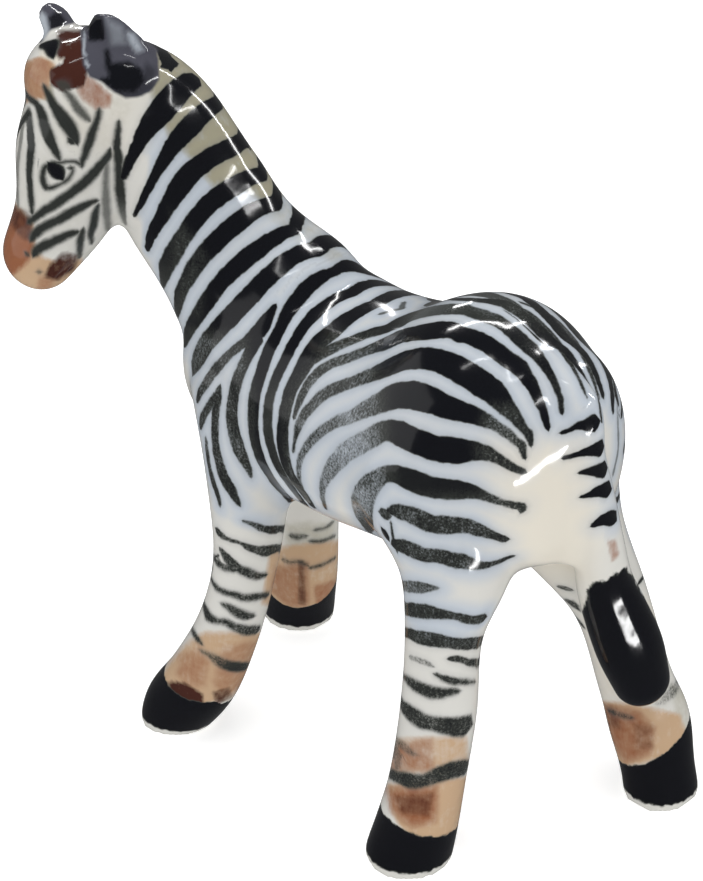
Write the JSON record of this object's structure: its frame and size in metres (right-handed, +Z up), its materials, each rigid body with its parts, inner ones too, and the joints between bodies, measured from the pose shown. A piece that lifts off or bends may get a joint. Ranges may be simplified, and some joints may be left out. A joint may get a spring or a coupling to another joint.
{
  "type": "ceramic zebra figurine",
  "caption": "Small glazed ceramic zebra figurine standing with its head turned to one side, legs braced apart and tail resting on a hind leg; a shelf ornament.",
  "frame": {"origin": "on the ground, under the middle of the figurine's bounding box", "axes": "+Z up; the body faces -Y, its own left side is +X and its tail is at +Y"},
  "size_m": [0.0367, 0.069, 0.0768],
  "materials": {
    "glazed_body": "clear gloss glaze over hand-painted blue-black stripes, brown washes and black hooves"
  },
  "bodies": {
    "root": {"zebra_figurine": "glazed_body"}
  },
  "joints": []
}
